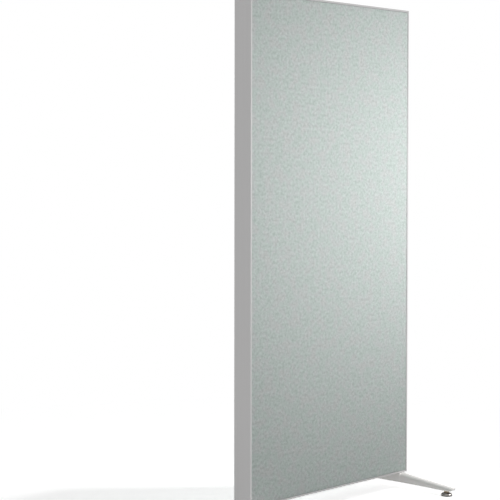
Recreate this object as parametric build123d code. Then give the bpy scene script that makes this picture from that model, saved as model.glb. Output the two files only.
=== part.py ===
"""Free-standing acoustic divider screen.

A mitred aluminium frame holds a centre board, an absorber on each side of it and a
fabric-covered face board on each face. The frame is bolted to two cast feet, and each
foot stands on two levelling glides that screw up and down.

Millimetres. +Z is up, +X runs along the width and -Y is the front face. The origin is
on the floor, under the middle of the screen.
"""

from build123d import *
import os

# The whole screen
panel_width = 800.0
panel_height = 1600.0
panel_thickness = 70.0
floor_gap = 53.5

# The frame's extrusion: a broad outer web, a narrow lip along each face, a box behind
# the web for the corner brackets and a groove on the box for the centre board
web_wall = 2.2
lip_depth = 6.5
lip_wall = 2.2
box_inside_depth = 20.0
box_wall = 1.8
groove_play = 0.2
groove_depth = 6.0
groove_wall = 1.5
edge_round = 0.8
mitre_gap = 0.1

# Corner brackets and the set screws that lock them in the box
bracket_arm = 92.0
bracket_clearance = 0.3
set_screw_radius = 3.0
set_screw_recess = 4.0
set_screws_an_arm = 2
set_screw_first = 48.0
set_screw_pitch = 28.0
set_screw_access_radius = 3.6
set_screw_socket_radius = 1.5
set_screw_socket_depth = 3.5

# The core
centre_board_thickness = 6.0
seat_clearance = 0.3

# The face boards and their fabric covers
fabric_thickness = 1.2
fabric_recess = 0.5
fabric_turn_in_gap = 4.3
fabric_fold_radius = 1.0
cover_gap = 0.5
face_board_thickness = 8.0

# Push-in clips that hold a face board to the frame
clip_from_edge = 7.0
clip_reach = 5.0
clip_base_radius = 5.4
clip_base_thickness = 1.8
clip_stud_radius = 3.4
clip_head_radius = 4.2
clip_head_length = 3.4
clip_neck_play = 0.3
clip_spigot_radius = 2.4
clip_spigot_length = 6.0
clip_hole_clearance = 0.1
upright_clip_shares = (-0.38, 0.0, 0.38)
rail_clip_shares = (-0.24, 0.24)

# Cast feet
foot_inset = 24.0
foot_reach = 255.0
foot_root_width = 29.0
foot_tip_width = 22.0
foot_glide_crest = 33.5
foot_arch_rise = 3.0
foot_nose_run = 19.0
foot_nose_rise = 8.5
foot_edge_round = 1.2
boss_setback = 2.0
glide_from_tip = 33.5

# Bolts that hold a foot to the bottom corner bracket
bolt_radius = 4.0
bolt_engagement = 13.2
bolt_head_radius = 6.5
bolt_head_height = 8.0
bolt_socket_flats = 6.0
bolt_socket_depth = 4.0
bolt_head_sink = 0.4
bolt_from_box_wall = 6.5
bolt_clearance = 0.25
washer_thickness = 2.0
washer_radius = 7.0
recess_clearance = 0.4

# Levelling glides
pad_radius = 19.0
pad_height = 12.0
pad_top_radius = 6.0
pad_rim_height = 4.6
pad_wall = 1.6
sole_proud = 3.2
sole_inset = 0.3
sole_plug_height = 5.6
stem_radius = 5.0
stem_hex_flats = 17.0
stem_hex_height = 5.0
stem_hex_bevel = 0.8
stem_tip_bevel = 0.8
stem_tip_clearance = 1.0
stem_bore_roof = 2.8
stop_gap = 0.4
stem_spigot_radius = 4.0
stem_rivet_radius = 5.6
stem_rivet_height = 1.4
turning_clearance = 0.1

# Clearance of a shaft or screw in its hole, and how far every cut runs past its piece
fit_clearance = 0.05
overrun = 2.0

# Places that several pieces share: across the panel's thickness, from its middle
half_width = panel_width / 2
half_thickness = panel_thickness / 2
panel_middle = floor_gap + panel_height / 2
cover_front = half_thickness - fabric_recess
face_front = cover_front - fabric_thickness
face_back = face_front - face_board_thickness
cover_back = face_back - fabric_thickness
clip_base_low = cover_back - clip_base_thickness
box_half_outside = clip_base_low - clip_reach
box_half_inside = box_half_outside - box_wall
box_inside_width = 2 * box_half_inside
groove_width = centre_board_thickness + 2 * groove_play

# From the outer face of the frame inwards
box_top = web_wall + box_inside_depth + box_wall
profile_depth = box_top + groove_depth
board_edge = box_top + seat_clearance
core_edge = profile_depth + seat_clearance
cover_edge = lip_depth + cover_gap
face_edge = cover_edge + fabric_thickness
turn_in_edge = core_edge - fabric_turn_in_gap
clip_inset = cover_edge + clip_from_edge
set_screw_length = box_inside_depth - set_screw_recess

# From the floor up, and along a foot
stem_hex_low = pad_height + turning_clearance
stem_hex_top = stem_hex_low + stem_hex_height
foot_underside = stem_hex_top + stop_gap
stem_bore_top = foot_glide_crest - stem_bore_roof
stem_tip = stem_bore_top - stem_tip_clearance
recess_top = foot_underside + foot_arch_rise + bolt_head_sink + bolt_head_height + washer_thickness
bolt_seat = recess_top - washer_thickness
bolt_reach = web_wall + bolt_engagement
bolt_length = floor_gap + bolt_reach - bolt_seat
bolt_spacing = box_inside_width - 2 * bolt_from_box_wall
foot_x = half_width - foot_inset
boss_length = panel_thickness - 2 * boss_setback
glide_offset = foot_reach - glide_from_tip


def save(node, shape):
    """Write one node; a group of like pieces stays a group of separate solids."""
    solids = shape.solids()
    body = solids[0] if len(solids) == 1 else Compound(children=list(solids))
    export_step(body, f"parts/{node}.step")
    print(f"{node}: {len(solids)} solid, {sum(s.volume for s in solids):.0f} mm3")


def profile_section():
    """The extrusion's section: local X across the thickness, local Y inwards."""
    web = Pos(0, web_wall / 2) * Rectangle(panel_thickness, web_wall)
    section = web
    for side in (-1, 1):
        lip_x = side * (half_thickness - lip_wall / 2)
        section += Pos(lip_x, lip_depth / 2) * Rectangle(lip_wall, lip_depth)
        fin_x = side * (groove_width / 2 + groove_wall / 2)
        section += Pos(fin_x, box_top + groove_depth / 2) * Rectangle(groove_wall, groove_depth)
    section += Pos(0, box_top / 2) * Rectangle(2 * box_half_outside, box_top)
    section -= Pos(0, web_wall + box_inside_depth / 2) * Rectangle(box_inside_width, box_inside_depth)
    outer = [v for v in section.vertices() if v.Y < web_wall / 2]
    return fillet(outer, edge_round)


def mitred_side(length):
    """One side of the frame, along local Z and centred, with both ends cut at 45 degrees."""
    bar = extrude(profile_section(), amount=length / 2, both=True)
    end = length / 2 - mitre_gap
    blank = Polyline((-end, 0), (end, 0), (end - profile_depth, profile_depth),
                     (profile_depth - end, profile_depth), close=True)
    mitre = extrude(Plane.ZY * make_face(blank), amount=panel_thickness, both=True)
    return bar & mitre


def cross_hole(along, inwards, radius):
    """A hole through both side walls of a side's box, for the face board clips."""
    across = Plane(origin=(0, inwards, along), z_dir=(1, 0, 0))
    return across * Cylinder(radius, 2 * box_half_outside + overrun)


def inward_hole(along, across, radius, start, stop):
    """A hole that runs inwards from the web of a side, between two depths."""
    place = Plane(origin=(across, (start + stop) / 2, along), z_dir=(0, 1, 0))
    return place * Cylinder(radius, stop - start)


def set_screw_steps():
    """How far each set screw of a bracket's arm stands from the outer corner of the frame."""
    return [set_screw_first + i * set_screw_pitch for i in range(set_screws_an_arm)]


def frame_side(length, clip_shares, bolt_holes):
    """A mitred side with its clip holes, set screw access holes and foot bolt holes."""
    side = mitred_side(length)
    hole_radius = clip_stud_radius + clip_hole_clearance
    for share in clip_shares:
        side -= cross_hole(share * length, clip_inset, hole_radius)
    for end in (-1, 1):
        for step in set_screw_steps():
            side -= inward_hole(end * (length / 2 - step), 0, set_screw_access_radius,
                                box_top - box_wall - overrun, profile_depth + overrun)
        for bolt in (-1, 1) if bolt_holes else ():
            side -= inward_hole(end * (length / 2 - foot_inset), bolt * bolt_spacing / 2,
                                bolt_radius + bolt_clearance, -overrun, web_wall + overrun)
    return side


# Where each side of the frame lies: local X is +Y, local Y points into the panel
left_plane = Plane(origin=(-half_width, 0, panel_middle), x_dir=(0, 1, 0), z_dir=(0, 0, -1))
right_plane = Plane(origin=(half_width, 0, panel_middle), x_dir=(0, 1, 0), z_dir=(0, 0, 1))
bottom_plane = Plane(origin=(0, 0, floor_gap), x_dir=(0, 1, 0), z_dir=(1, 0, 0))
top_plane = Plane(origin=(0, 0, floor_gap + panel_height), x_dir=(0, 1, 0), z_dir=(-1, 0, 0))


def make_frame():
    save("left_upright", left_plane * frame_side(panel_height, upright_clip_shares, False))
    save("right_upright", right_plane * frame_side(panel_height, upright_clip_shares, False))
    save("bottom_rail", bottom_plane * frame_side(panel_width, rail_clip_shares, True))
    save("top_rail", top_plane * frame_side(panel_width, rail_clip_shares, False))


def corner_places():
    """Each corner's name, its place and the signs that point from it into the panel."""
    for level, z, up in (("bottom", floor_gap, 1), ("top", floor_gap + panel_height, -1)):
        for hand, x, inward in (("left", -half_width, 1), ("right", half_width, -1)):
            yield level, hand, x, z, inward, up


def bracket_block(low_x, high_x, low_z, high_z):
    """A block of the bracket between two corners, as wide as the box lets it be."""
    width = box_inside_width - 2 * bracket_clearance
    middle = Pos((low_x + high_x) / 2, 0, (low_z + high_z) / 2)
    return middle * Box(abs(high_x - low_x), width, abs(high_z - low_z))


def corner_bracket(inward, up, with_bolts):
    """An L-shaped cast bracket, drawn with the outer corner of the frame at the origin."""
    outer = web_wall + bracket_clearance
    inner = web_wall + box_inside_depth - bracket_clearance
    bracket = bracket_block(inward * outer, inward * bracket_arm, up * outer, up * inner)
    bracket += bracket_block(inward * outer, inward * inner, up * outer, up * bracket_arm)
    for step in set_screw_steps():
        bracket -= Pos(inward * step, 0, up * inner) * Cylinder(set_screw_radius, 2 * panel_thickness)
        bracket -= (Pos(inward * inner, 0, up * step) * Rot(0, 90, 0)
                    * Cylinder(set_screw_radius, 2 * panel_thickness))
    if with_bolts:
        for bolt in (-1, 1):
            bracket -= Pos(inward * foot_inset, bolt * bolt_spacing / 2, 0) * Cylinder(
                bolt_radius, 2 * (bolt_reach + overrun))
    return bracket


def set_screw():
    """A socket set screw along +Z with its tip at the origin."""
    screw = Pos(0, 0, set_screw_length / 2) * Cylinder(set_screw_radius - fit_clearance, set_screw_length)
    socket = extrude(RegularPolygon(set_screw_socket_radius, 6), amount=set_screw_socket_depth)
    return screw - Pos(0, 0, set_screw_length - set_screw_socket_depth) * socket


def make_corners():
    screws = []
    for level, hand, x, z, inward, up in corner_places():
        bracket = Pos(x, 0, z) * corner_bracket(inward, up, level == "bottom")
        save(f"{level}_{hand}_bracket", bracket)
        for step in set_screw_steps():
            on_rail = Plane(origin=(x + inward * step, 0, z + up * web_wall), z_dir=(0, 0, up))
            on_upright = Plane(origin=(x + inward * web_wall, 0, z + up * step), z_dir=(inward, 0, 0))
            screws += [on_rail * set_screw(), on_upright * set_screw()]
    save("bracket_set_screws", Compound(children=screws))


def slab(edge, facing, near, far):
    """A board whose edges lie this far inside the frame's outer faces, between two
    distances from the middle of the panel towards one face."""
    middle = Pos(0, facing * (near + far) / 2, panel_middle)
    return middle * Box(panel_width - 2 * edge, far - near, panel_height - 2 * edge)


def clip_places():
    """X and Z of every face board clip."""
    upright_x = half_width - clip_inset
    places = [(side * upright_x, panel_middle + share * panel_height)
              for side in (-1, 1) for share in upright_clip_shares]
    for z in (floor_gap + clip_inset, floor_gap + panel_height - clip_inset):
        places += [(share * panel_width, z) for share in rail_clip_shares]
    return places


def towards_face(facing, x, z):
    """A plane on the middle of the panel whose local Z points at one face."""
    return Plane(origin=(x, 0, z), x_dir=(1, 0, 0), z_dir=(0, facing, 0))


def spigot_hole(facing, x, z):
    """The blind hole behind a face board that takes the spigot of a clip."""
    depth = clip_spigot_length + fit_clearance
    middle = cover_back + depth / 2
    return towards_face(facing, x, z) * Pos(0, 0, middle) * Cylinder(
        clip_spigot_radius + fit_clearance, depth)


def face_board(facing):
    board = slab(face_edge, facing, face_back, face_front)
    for x, z in clip_places():
        board -= spigot_hole(facing, x, z)
    return board


def fabric_cover(facing):
    """Fabric over the face and edges of its board, turned in behind the board."""
    outside = slab(cover_edge, facing, cover_back, cover_front)
    front = outside.faces().sort_by(Axis.Y)[-1 if facing > 0 else 0]
    cover = fillet(front.edges(), fabric_fold_radius)
    cover -= slab(face_edge, facing, face_back, face_front)
    cover -= slab(turn_in_edge, facing, cover_back - overrun, face_back)
    for x, z in clip_places():
        cover -= spigot_hole(facing, x, z)
    return cover


def panel_clip():
    """A push-in clip along +Z: spigot in the board, base on it, stud and head in the frame."""
    neck_low = box_half_inside - clip_neck_play
    head_low = neck_low - clip_head_length
    spigot_top = cover_back + clip_spigot_length
    outline = Polyline((0, spigot_top), (clip_spigot_radius, spigot_top),
                       (clip_spigot_radius, cover_back), (clip_base_radius, cover_back),
                       (clip_base_radius, clip_base_low), (clip_stud_radius, clip_base_low),
                       (clip_stud_radius, neck_low), (clip_head_radius, neck_low),
                       (clip_stud_radius, head_low), (0, head_low), close=True)
    return revolve(Plane.XZ * make_face(outline), axis=Axis.Z)


def make_core_and_faces():
    half_board = centre_board_thickness / 2
    save("centre_board", slab(board_edge, 1, -half_board, half_board))
    for name, facing in (("front", -1), ("rear", 1)):
        save(f"{name}_absorber", slab(core_edge, facing, half_board, cover_back - seat_clearance))
        save(f"{name}_face_board", face_board(facing))
        save(f"{name}_fabric_cover", fabric_cover(facing))
        clips = [towards_face(facing, x, z) * panel_clip() for x, z in clip_places()]
        save(f"{name}_panel_clips", Compound(children=clips))


def arm_section(y, half, crest):
    """An upright section of the arm with a full-round top, at one place along Y."""
    shoulder = crest - half
    sides = Polyline((half, shoulder), (half, 0), (-half, 0), (-half, shoulder))
    top = ThreePointArc((-half, shoulder), (0, crest), (half, shoulder))
    return Plane(origin=(0, y, 0), x_dir=(1, 0, 0), z_dir=(0, -1, 0)) * make_face(sides + top)


def underside_cut():
    """What is taken from below a foot: a shallow arch, and the rise to each nose."""
    flat = glide_offset - pad_radius
    nose = foot_reach - foot_nose_run
    beyond = foot_reach + overrun
    top = foot_underside + foot_nose_rise
    arch = ThreePointArc((-flat, foot_underside), (0, foot_underside + foot_arch_rise),
                         (flat, foot_underside))
    outline = arch
    for side in (-1, 1):
        bend = TangentArc((side * nose, foot_underside), (side * foot_reach, top), tangent=(side, 0))
        outline += Line((side * flat, foot_underside), (side * nose, foot_underside)) + bend
        outline += Line((side * foot_reach, top), (side * beyond, top))
        outline += Line((side * beyond, top), (side * beyond, -overrun))
    outline += Line((-beyond, -overrun), (beyond, -overrun))
    return extrude(Plane.YZ * make_face(outline), amount=foot_root_width, both=True)


def foot_blank():
    """The casting before its holes: two arms that taper to round tips, and the boss."""
    tip_half = foot_tip_width / 2
    root_half = foot_root_width / 2
    slope = (floor_gap - foot_glide_crest) / (glide_offset - half_thickness)
    crest_at_middle = floor_gap + slope * half_thickness
    beyond = foot_reach + overrun
    taper = (root_half - tip_half) / foot_reach
    middle = arm_section(0, root_half, crest_at_middle)
    end = arm_section(-beyond, root_half - taper * beyond, crest_at_middle - slope * beyond)
    arm = loft([middle, end], ruled=True)
    blank = arm + mirror(arm, about=Plane.XZ)
    blank -= Pos(0, 0, floor_gap + foot_root_width) * Box(
        2 * foot_root_width, 2 * foot_reach, 2 * foot_root_width)
    boss = Pos(0, 0, floor_gap / 2) * Box(foot_root_width, boss_length, floor_gap)
    blank += fillet(boss.edges().filter_by(Axis.Z), foot_edge_round)
    start = foot_reach - tip_half
    end_block = Pos(0, -(start + beyond) / 2, 0) * Box(
        2 * foot_root_width, beyond - start, 2 * floor_gap)
    end_cut = end_block - Pos(0, -start, 0) * Cylinder(tip_half, 2 * floor_gap)
    blank -= end_cut
    blank -= mirror(end_cut, about=Plane.XZ)
    return blank - underside_cut()


def foot():
    casting = foot_blank()
    for bolt in (-1, 1):
        place = Pos(0, bolt * bolt_spacing / 2, 0)
        casting -= place * Cylinder(bolt_radius + bolt_clearance, 2 * (floor_gap + overrun))
        casting -= place * Cylinder(washer_radius + recess_clearance, 2 * recess_top)
    for end in (-1, 1):
        casting -= Pos(0, end * glide_offset, 0) * Cylinder(stem_radius, 2 * stem_bore_top)
    return casting


def foot_bolt():
    """A socket head bolt along +Z with the underside of its head at the origin."""
    head = Pos(0, 0, -bolt_head_height / 2) * Cylinder(bolt_head_radius, bolt_head_height)
    shank = Pos(0, 0, bolt_length / 2) * Cylinder(bolt_radius - fit_clearance, bolt_length)
    socket = extrude(RegularPolygon(bolt_socket_flats / 2, 6, major_radius=False), amount=bolt_socket_depth)
    return head + shank - Pos(0, 0, -bolt_head_height) * socket


def washer():
    ring = Cylinder(washer_radius, washer_thickness) - Cylinder(bolt_radius + bolt_clearance, panel_thickness)
    return Pos(0, 0, washer_thickness / 2) * ring


def make_feet():
    save("left_foot", Pos(-foot_x, 0, 0) * foot())
    save("right_foot", Pos(foot_x, 0, 0) * foot())
    places = [Pos(side * foot_x, bolt * bolt_spacing / 2, bolt_seat) for side in (-1, 1) for bolt in (-1, 1)]
    save("foot_bolts", Compound(children=[place * foot_bolt() for place in places]))
    save("foot_bolt_washers", Compound(children=[place * washer() for place in places]))


def pad_shell():
    """The glide's pressed dome: a rounded cap with an open underside and a bore for the stem."""
    bore = stem_spigot_radius
    shoulder = pad_radius - pad_top_radius
    crown = pad_height - pad_rim_height
    turn = (pad_top_radius, pad_rim_height)
    outer = EllipticalCenterArc(turn, shoulder, crown, arc_size=90)
    inner = EllipticalCenterArc(turn, shoulder - pad_wall, crown - pad_wall, arc_size=90)
    top_lines = Polyline((pad_top_radius, pad_height), (bore, pad_height), (bore, pad_height - pad_wall),
                         (pad_top_radius, pad_height - pad_wall))
    rim_lines = Polyline((pad_radius - pad_wall, pad_rim_height), (pad_radius - pad_wall, sole_proud),
                         (pad_radius, sole_proud), (pad_radius, pad_rim_height))
    return revolve(Plane.XZ * make_face(outer + top_lines + inner + rim_lines), axis=Axis.Z)


def pad_sole():
    """The nylon sole: a thin flange under the dome's rim and a plug inside it."""
    flange = Pos(0, 0, sole_proud / 2) * Cylinder(pad_radius - sole_inset, sole_proud)
    plug_radius = pad_radius - pad_wall - fit_clearance
    plug = Pos(0, 0, sole_plug_height / 2) * Cylinder(plug_radius, sole_plug_height)
    bevel = sole_plug_height - pad_rim_height
    return flange + chamfer(plug.edges().group_by(Axis.Z)[-1], bevel)


def glide_stem():
    """The stem: rivet head inside the dome, spigot, hexagon and plain threaded shank."""
    rivet_top = pad_height - pad_wall - turning_clearance
    shank_radius = stem_radius - fit_clearance
    spigot_radius = stem_spigot_radius - fit_clearance
    rivet_low = rivet_top - stem_rivet_height
    turned = Polyline((0, rivet_low), (stem_rivet_radius, rivet_low), (stem_rivet_radius, rivet_top),
                      (spigot_radius, rivet_top), (spigot_radius, stem_hex_low), (shank_radius, stem_hex_low),
                      (shank_radius, stem_tip - stem_tip_bevel),
                      (shank_radius - stem_tip_bevel, stem_tip), (0, stem_tip), close=True)
    stem = revolve(Plane.XZ * make_face(turned), axis=Axis.Z)
    hexagon = extrude(RegularPolygon(stem_hex_flats / 2, 6, major_radius=False), amount=stem_hex_height)
    flats = stem_hex_flats / 2
    blank = Polyline((0, 0), (flats, 0), (flats + stem_hex_bevel * 2, stem_hex_bevel),
                     (flats + stem_hex_bevel * 2, stem_hex_height - stem_hex_bevel),
                     (flats, stem_hex_height), (0, stem_hex_height), close=True)
    bevelled = hexagon & revolve(Plane.XZ * make_face(blank), axis=Axis.Z)
    return stem + Pos(0, 0, stem_hex_low) * bevelled


def make_glides():
    for hand, x in (("left", -foot_x), ("right", foot_x)):
        for face, y in (("front", -glide_offset), ("rear", glide_offset)):
            place = Pos(x, y, 0)
            save(f"{hand}_{face}_glide_dome", place * pad_shell())
            save(f"{hand}_{face}_glide_sole", place * pad_sole())
            save(f"{hand}_{face}_glide_stem", place * glide_stem())


if __name__ == "__main__":
    os.makedirs("parts", exist_ok=True)
    make_frame()
    make_corners()
    make_core_and_faces()
    make_feet()
    make_glides()
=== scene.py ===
"""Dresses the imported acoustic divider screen: cloth covers, absorber batts, threaded
fasteners, clips, levelling stems and the finish of every piece, on a plain pale stage.

Metres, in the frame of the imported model: +Z up, +X along the width, -Y out of the front.
"""

import math

import bmesh
import bpy
from bpy.props import FloatProperty, FloatVectorProperty, IntProperty, PointerProperty
from mathutils import Matrix, Vector, noise


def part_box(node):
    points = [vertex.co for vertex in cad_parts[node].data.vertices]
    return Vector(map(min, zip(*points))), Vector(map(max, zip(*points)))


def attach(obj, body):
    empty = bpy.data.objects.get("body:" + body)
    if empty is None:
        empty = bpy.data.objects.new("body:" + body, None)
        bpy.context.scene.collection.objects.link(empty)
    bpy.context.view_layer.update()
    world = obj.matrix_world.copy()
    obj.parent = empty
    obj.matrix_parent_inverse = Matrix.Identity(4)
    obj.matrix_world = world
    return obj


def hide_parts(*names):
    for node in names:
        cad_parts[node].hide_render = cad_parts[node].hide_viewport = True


bl_info = {
    "name": "Acoustic Divider Screen",
    "version": (1, 0, 0),
    "blender": (4, 5, 0),
    "location": "3D View > Sidebar > Divider Screen",
    "description": "Cloth, fasteners, glides and finishes of a free-standing acoustic screen",
    "category": "Object",
}

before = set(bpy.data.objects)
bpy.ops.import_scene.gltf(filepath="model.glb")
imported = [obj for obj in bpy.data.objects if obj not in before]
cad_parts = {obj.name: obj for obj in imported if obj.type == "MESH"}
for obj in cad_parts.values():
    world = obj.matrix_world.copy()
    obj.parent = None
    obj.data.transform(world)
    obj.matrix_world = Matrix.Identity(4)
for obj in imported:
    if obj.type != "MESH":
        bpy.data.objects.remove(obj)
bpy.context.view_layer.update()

MM = 0.001
HANDS = ("left", "right")
FACES = (("front", -1), ("rear", 1))
GLIDES = [f"{hand}_{face}_glide" for hand in HANDS for face, _ in FACES]
# The width of the camera's frame in millimetres, and how near and how far the camera sees
FRAME_WIDTH, CAMERA_REACH = 36, (0.1, 300)
# Where a distant lamp's object stands, of which only the direction counts
LAMP_AWAY = 5.0
# Rows of the mesh in one turn of a thread
THREAD_ROWS = 6
# Edges that turn by more than this stay sharp, on metal and on felted fibre
SHARP_METAL, SHARP_FELT = math.radians(32), math.radians(50)
UP = Vector((0, 0, 1))
WHITE = [1, 1, 1, 1]

# Most of what Blender's noise gives lies between these
NOISE_LOW, NOISE_HIGH = 0.25, 0.75
# A colour ramp over a noise has its two ends here
RAMP_LOW, RAMP_HIGH = 0.3, 0.7
# A flat-topped metric thread: where its crest ends and its root starts, as shares of half
# its pitch, and its depth, as a share of its pitch
CREST_END, ROOT_START, THREAD_DEPTH = 0.12, 0.85, 0.61


def linear(code):
    """The linear red, green and blue of an sRGB hex colour."""
    parts = [int(code[i:i + 2], 16) / 255 for i in (1, 3, 5)]
    return [p / 12.92 if p <= 0.04045 else ((p + 0.055) / 1.055) ** 2.4 for p in parts]


def colour(name, description, code):
    return FloatVectorProperty(name=name, description=description, subtype="COLOR",
                               min=0, max=1, default=linear(code))


def length(name, description, millimetres):
    return FloatProperty(name=name, description=description, unit="LENGTH", min=0,
                         precision=4, default=millimetres * MM)


def degrees(name, description, value):
    return FloatProperty(name=name, description=description, subtype="ANGLE",
                         default=math.radians(value))


def point(name, description, metres):
    return FloatVectorProperty(name=name, description=description, unit="LENGTH",
                               subtype="TRANSLATION", default=metres)


def level(name, description, value):
    return FloatProperty(name=name, description=description, min=0, default=value)


def portion(name, description, value):
    return FloatProperty(name=name, description=description, subtype="FACTOR", min=0, max=1,
                         default=value)


class DividerCloth(bpy.types.PropertyGroup):
    """The wool cloth and how it is drawn over a face board."""
    mint: colour("Mint fibre", "The green-grey wool that makes up most of the cloth", "#b8c3be")
    grey: colour("Grey fibre", "Undyed grey wool", "#bcc1c0")
    rose: colour("Rose fibre", "Wool with a trace of pink", "#bebfbe")
    fleck: colour("Dark fleck", "The darkest fibres", "#8a9791")
    light: colour("Pale fleck", "The palest fibres", "#d5ddda")
    speck_share: portion("Speck share", "How much the flecks tint the cloth", 0.32)
    # Painted shade in the gaps of the weave, between the threads
    weave_gap_shade: portion("Weave share", "How much the gaps of the weave darken it", 0.18)
    tuft: length("Tuft width", "The specks that the fibres make", 9.0)
    drift: length("Drift width", "The patches of one batch of dyed wool", 42.0)
    thread: length("Thread spacing", "From one thread to the next", 1.6)
    thickness: length("Cloth thickness", "Of the fulled cloth", 1.1)
    fold: length("Fold radius", "Of the cloth where it turns over the board's edges", 1.15)
    turn_in: length("Turn-in", "Width of cloth that is held behind the board", 19.0)
    cell: length("Mesh cell", "Width of a face of the mesh on the flat", 16.0)
    relief: length("Relief", "How far the cloth rises and dips over the felt board", 0.12)
    seed: IntProperty(name="Seed", description="Picks the relief's pattern", default=7)


class DividerMetal(bpy.types.PropertyGroup):
    """Colours and sizes of the metal pieces."""
    anodised: colour("Anodised aluminium", "The frame's satin grey", "#c8c7c7")
    cast: colour("Cast aluminium", "The feet's satin finish", "#e4e2e0")
    bracket: colour("As-cast aluminium", "The corner brackets inside the frame", "#9c9fa2")
    zinc: colour("Zinc plating", "Screws, bolts and washers", "#b9bfc6")
    # Painted shade: darker than nickel plating is, standing in for the darker surroundings that a
    # dome reflects
    plate_and_shade: colour("Nickel plating", "The pressed domes of the glides", "#8b8885")
    steel: colour("Passivated steel", "The stems of the glides", "#8d7f6c")
    stem_pitch: length("Stem pitch", "Rise of a glide's thread in a turn", 1.5)
    screw_pitch: length("Screw pitch", "Rise of a set screw's thread in a turn", 1.0)
    bolt_pitch: length("Bolt pitch", "Rise of a foot bolt's thread in a turn", 1.25)


class DividerHidden(bpy.types.PropertyGroup):
    """Colours of what the cloth and the frame hide, and of the soles."""
    felt: colour("Pressed felt", "The face boards", "#a9aaa6")
    batt: colour("Polyester batt", "The absorbers", "#d6d8d8")
    board: colour("Hardboard", "The centre board", "#a98a66")
    nylon: colour("Nylon", "The clips", "#e6e3da")
    sole: colour("Sole nylon", "The soles of the glides", "#161617")


class DividerStage(bpy.types.PropertyGroup):
    """The camera, the lamps and the floor."""
    place: point("Camera", "Where the camera stands", (-3.7746, -3.1893, 1.112))
    yaw: degrees("Yaw", "From +Y towards +X", 46.905)
    pitch: degrees("Pitch", "Down from the level", 1.831)
    roll: degrees("Roll", "Lean of the camera", 0.075)
    lens: FloatProperty(name="Lens", description="Focal length on a 36 mm frame, in millimetres",
                        default=108.0, min=1)
    shift: FloatProperty(name="Shift", description="Vertical shift, as a share of the frame",
                         default=-0.069)
    soft: FloatProperty(name="Soft lamp", description="Power of the wide lamp", unit="POWER",
                        default=27.5, min=0)
    soft_size: FloatVectorProperty(name="Soft lamp size", description="Its width and height",
                                   size=2, unit="LENGTH", default=(2.6, 0.72))
    soft_place: point("Soft lamp place", "Where it hangs", (0.55, -1.04, 1.13))
    soft_aim: point("Soft lamp aim", "What it points at", (0.1, 0.0, 1.05))
    distant: level("Distant lamp", "What it adds on a face turned to it", 0.11)
    distant_bearing: degrees("Distant lamp bearing", "From +Y towards +X", 132)
    distant_height: degrees("Distant lamp height", "Above the horizon", 55)
    distant_spread: degrees("Distant lamp spread", "How wide it looks", 3)
    foot: level("Foot lamp", "What it adds on a face of a foot turned to it", 0.6)
    foot_bearing: degrees("Foot lamp bearing", "From +Y towards +X", 178)
    foot_height: degrees("Foot lamp height", "Above the horizon", 50)
    glint: level("Glint lamp", "What it adds on a dome turned to it", 1.0)
    glint_bearing: degrees("Glint lamp bearing", "From +Y towards +X", 158)
    glint_height: degrees("Glint lamp height", "Above the horizon", 30)
    rear: level("Rear lamp", "What it adds on a face turned to it", 0.66)
    rear_bearing: degrees("Rear lamp bearing", "From +Y towards +X", 1)
    rear_height: degrees("Rear lamp height", "Above the horizon", 35)
    wide: degrees("Other lamps' spread", "How wide the rear, foot and glint lamps look", 20)
    fill: level("Fill", "Strength of the room's even light", 0.18)
    floor: colour("Floor", "The pale floor", "#b4b4b3")
    floor_side: length("Floor side", "From the middle of the floor to its edges", 60000)
    shade_share: portion("Shade share", "How much of the floor's white near the screen "
                         "follows the light", 0.46)
    shade_centre: point("Shade centre", "The middle of that floor", (0.0, 0.1, 0.0))
    shade_near: length("Shade start", "How far out the shade is full", 1200)
    shade_far: length("Shade end", "How far out the floor is plain white", 2200)


def socket(sockets, key):
    """The socket that shows under this name, or that has this number."""
    if isinstance(key, int):
        return sockets[key]
    return next(s for s in sockets if s.enabled and s.name == key)


def feed(tree, target, value):
    """Give an input a value, a socket, a node's first output or (node, an output's name)."""
    if isinstance(value, tuple) and isinstance(value[0], bpy.types.Node):
        value = socket(value[0].outputs, value[1])
    elif isinstance(value, bpy.types.Node):
        value = next(s for s in value.outputs if s.enabled)
    if isinstance(value, bpy.types.NodeSocket):
        tree.links.new(value, target)
    else:
        target.default_value = value


def add(tree, kind, inputs=(), stops=(), rows=0, **settings):
    """Add a node with its settings and what its inputs get, by name or number, or in order.
    The stops of a colour ramp are each a position and a colour, and a switch has as many
    rows as it chooses from."""
    node = tree.nodes.new(kind)
    for name, value in settings.items():
        setattr(node, name, value)
    for _ in stops[2:]:
        node.color_ramp.elements.new(1.0)
    for i, (position, shade) in enumerate(stops):
        node.color_ramp.elements[i].position = position
        node.color_ramp.elements[i].color = [*shade, 1.0]
    for _ in range(2, rows):
        node.index_switch_items.new()
    named = inputs if isinstance(inputs, dict) else dict(enumerate(inputs))
    for key, value in named.items():
        feed(tree, socket(node.inputs, key), value)
    return node


# Materials


def surface(name, shade, roughness, more):
    """A new material with one Principled shader; returns it, its tree and the shader."""
    made = bpy.data.materials.new(name)
    made.use_nodes = True
    tree = made.node_tree
    tree.nodes.clear()
    shader = add(tree, "ShaderNodeBsdfPrincipled",
                 {"Base Color": [*shade, 1.0], "Roughness": roughness, **more})
    add(tree, "ShaderNodeOutputMaterial", {"Surface": shader})
    return made, tree, shader


def scaled(shade, factor):
    return [min(1.0, part * factor) for part in shade]


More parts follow.
